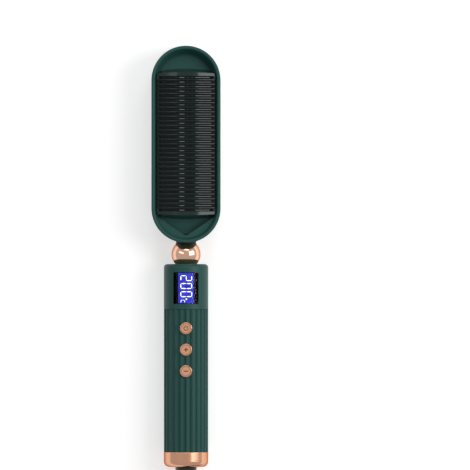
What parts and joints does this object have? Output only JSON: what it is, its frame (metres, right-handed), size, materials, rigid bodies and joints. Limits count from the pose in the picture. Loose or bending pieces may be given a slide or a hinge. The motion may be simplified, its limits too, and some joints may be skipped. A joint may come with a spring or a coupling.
{
  "type": "heated hair straightening brush",
  "caption": "Electric hot-comb hair straightening brush: capsule head with fin guard, ball neck, display window, push buttons, fluted handle and swivel mains lead",
  "frame": {"origin": "middle of the brush's length and width on the surface it lies on, measured without the mains lead", "axes": "+Y to the tip of the head, +Z out of the comb and the display, +X to the right when seen from the comb side"},
  "size_m": [0.1138, 0.4827, 0.036],
  "materials": {
    "green_shell": "satin",
    "comb_plastic": "satin",
    "rose_plate": "polished",
    "hot_metal": "satin",
    "steel": "plain",
    "plug_metal": "nickel plated",
    "ceramic": "plain",
    "black_plastic": "satin",
    "lens": "clear",
    "lcd_glass": "lit",
    "light_guide": "clear",
    "board": "satin",
    "cord_rubber": "matte"
  },
  "bodies": {
    "brush": {"head_shell": "green_shell", "back_cover": "green_shell", "collar_sleeve": "green_shell", "grip_front": "green_shell", "grip_rear": "green_shell", "comb_guard": "comb_plastic", "trim_ring": "rose_plate", "neck_ball": "rose_plate", "end_ring": "rose_plate", "hot_comb": "hot_metal", "heater_clamp": "hot_metal", "neck_tube": "steel", "neck_nut": "steel", "comb_screws": "steel", "clamp_screws": "steel", "handle_screws": "steel", "board_screws": "steel", "mains_fuse": "steel", "plug_pins": "plug_metal", "swivel_contacts": "plug_metal", "heating_element": "ceramic", "mica_pad": "ceramic", "thermistor": "ceramic", "thermal_cutoff": "ceramic", "display_mask": "black_plastic", "display_cradle": "black_plastic", "power_switch": "black_plastic", "plus_switch": "black_plastic", "minus_switch": "black_plastic", "power_triac": "black_plastic", "controller_chip": "black_plastic", "buzzer": "black_plastic", "film_capacitor": "black_plastic", "display_lens": "lens", "lcd_panel": "lcd_glass", "backlight": "light_guide", "main_board": "board", "neck_seal": "cord_rubber", "strain_relief": "cord_rubber", "cord_lead": "cord_rubber", "cord_coil": "cord_rubber", "cord_tail": "cord_rubber", "cord_tie": "cord_rubber", "plug_body": "cord_rubber", "heater_harness": "cord_rubber", "mains_wires": "cord_rubber"},
    "power_key": {"power_button": "rose_plate", "power_plunger": "black_plastic"},
    "plus_key": {"plus_button": "rose_plate", "plus_plunger": "black_plastic"},
    "minus_key": {"minus_button": "rose_plate", "minus_plunger": "black_plastic"},
    "swivel": {"swivel_cone": "black_plastic", "swivel_clip": "steel"}
  },
  "joints": [
    {"name": "power_key", "type": "slide", "parent": "brush", "child": "power_key", "axis": [0, 0, -1], "range_m": [0, 0.0005], "stiffness_N_per_m": 300},
    {"name": "plus_key", "type": "slide", "parent": "brush", "child": "plus_key", "axis": [0, 0, -1], "range_m": [0, 0.0005], "stiffness_N_per_m": 300},
    {"name": "minus_key", "type": "slide", "parent": "brush", "child": "minus_key", "axis": [0, 0, -1], "range_m": [0, 0.0005], "stiffness_N_per_m": 300},
    {"name": "cord_swivel", "type": "hinge", "parent": "brush", "child": "swivel", "pos_m": [0, -0.14365, 0.0155], "axis": [0, 1, 0], "continuous": true}
  ]
}
